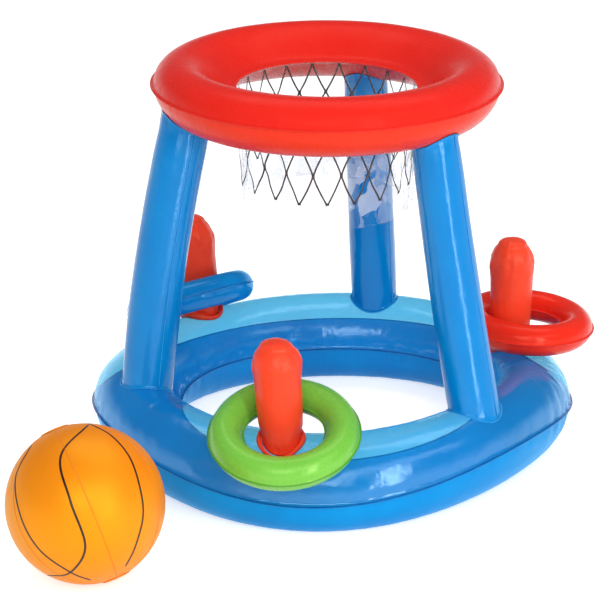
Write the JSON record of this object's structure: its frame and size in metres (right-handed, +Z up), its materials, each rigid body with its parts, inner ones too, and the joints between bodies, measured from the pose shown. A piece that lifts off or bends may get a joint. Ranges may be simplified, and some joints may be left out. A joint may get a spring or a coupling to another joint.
{
  "type": "floating basketball hoop",
  "caption": "Inflated pool basketball hoop: a ring hoop with a net skirt on legs over a floating base ring, with target posts, toss rings and a ball.",
  "frame": {"origin": "middle of the whole set's footprint, at the level it stands on", "axes": "+Z up through the hoop, -Y towards the side with the ball and the front post"},
  "size_m": [0.7058, 0.7784, 0.5075],
  "materials": {
    "blue_film": "glossy clear-blue PVC film",
    "pale_blue_film": "glossy single layer of blue PVC film",
    "red_film": "semi-gloss red PVC film",
    "clear_film": "clear PVC film",
    "green_ring_film": "glossy green PVC film",
    "red_ring_film": "glossy red PVC film",
    "blue_ring_film": "glossy clear-blue PVC film",
    "orange_film": "semi-gloss orange PVC film",
    "valve_vinyl": "moulded soft vinyl, milky"
  },
  "bodies": {
    "floating_base": {"base_upper_sheet": "blue_film", "base_lower_sheet": "blue_film", "hoop_upper_sheet": "red_film", "hoop_lower_sheet": "red_film", "net_skirt": "clear_film", "leg_left": "blue_film", "leg_right": "blue_film", "leg_back": "blue_film", "leg_left_foot_flange": "pale_blue_film", "leg_right_foot_flange": "pale_blue_film", "leg_back_foot_flange": "pale_blue_film", "post_front": "red_film", "post_right": "red_film", "post_left": "red_film", "post_front_bead": "red_film", "post_right_bead": "red_film", "post_left_bead": "red_film", "base_valve_stem": "valve_vinyl", "hoop_valve_stem": "valve_vinyl"},
    "toss_ring_green": {"toss_ring_green_upper": "green_ring_film", "toss_ring_green_lower": "green_ring_film", "toss_ring_green_valve_stem": "valve_vinyl"},
    "toss_ring_red": {"toss_ring_red_upper": "red_ring_film", "toss_ring_red_lower": "red_ring_film", "toss_ring_red_valve_stem": "valve_vinyl"},
    "toss_ring_blue": {"toss_ring_blue_upper": "blue_ring_film", "toss_ring_blue_lower": "blue_ring_film", "toss_ring_blue_valve_stem": "valve_vinyl"},
    "ball": {"ball_gore_1": "orange_film", "ball_gore_2": "orange_film", "ball_gore_3": "orange_film", "ball_gore_4": "orange_film", "ball_gore_5": "orange_film", "ball_gore_6": "orange_film", "ball_patch_top": "orange_film", "ball_patch_bottom": "orange_film", "ball_valve_stem": "valve_vinyl"},
    "base_plug": {"base_valve_plug": "valve_vinyl"},
    "hoop_plug": {"hoop_valve_plug": "valve_vinyl"},
    "green_ring_plug": {"toss_ring_green_valve_plug": "valve_vinyl"},
    "red_ring_plug": {"toss_ring_red_valve_plug": "valve_vinyl"},
    "blue_ring_plug": {"toss_ring_blue_valve_plug": "valve_vinyl"},
    "ball_plug": {"ball_valve_plug": "valve_vinyl"}
  },
  "joints": [
    {"name": "green_ring_lift", "type": "slide", "parent": "floating_base", "child": "toss_ring_green", "axis": [-0.0239, 0.1195, 0.9925], "range_m": [0, 0.2]},
    {"name": "red_ring_lift", "type": "slide", "parent": "floating_base", "child": "toss_ring_red", "axis": [-0.1217, -0.0055, 0.9926], "range_m": [0, 0.2]},
    {"name": "blue_ring_lift", "type": "slide", "parent": "floating_base", "child": "toss_ring_blue", "axis": [0.0809, 0.0911, 0.9925], "range_m": [0, 0.2]},
    {"name": "ball_lift", "type": "slide", "parent": "floating_base", "child": "ball", "axis": [0, 0, 1], "range_m": [0, 0.5]},
    {"name": "base_plug_tether", "type": "hinge", "parent": "floating_base", "child": "base_plug", "pos_m": [-0.06898, 0.3751, 0.03267], "axis": [-0.0909, 0.3648, 0.9266], "range_deg": [0, 150]},
    {"name": "hoop_plug_tether", "type": "hinge", "parent": "floating_base", "child": "hoop_plug", "pos_m": [-0.04232, 0.30108, 0.45754], "axis": [-0.0844, 0.4388, 0.8946], "range_deg": [0, 150]},
    {"name": "green_ring_plug_tether", "type": "hinge", "parent": "toss_ring_green", "child": "green_ring_plug", "pos_m": [-0.05674, -0.09227, 0.14369], "axis": [-0.036, 0.0055, 0.9993], "range_deg": [0, 150]},
    {"name": "red_ring_plug_tether", "type": "hinge", "parent": "toss_ring_red", "child": "red_ring_plug", "pos_m": [0.25481, 0.26146, 0.12583], "axis": [0.0503, 0.3212, 0.9457], "range_deg": [0, 150]},
    {"name": "blue_ring_plug_tether", "type": "hinge", "parent": "toss_ring_blue", "child": "blue_ring_plug", "pos_m": [-0.17845, 0.33727, 0.0961], "axis": [-0.2272, 0.6248, 0.747], "range_deg": [0, 150]},
    {"name": "ball_plug_tether", "type": "hinge", "parent": "ball", "child": "ball_plug", "pos_m": [-0.23714, -0.21013, 0.07434], "axis": [0.8574, -0.1956, 0.4761], "range_deg": [0, 150]}
  ]
}
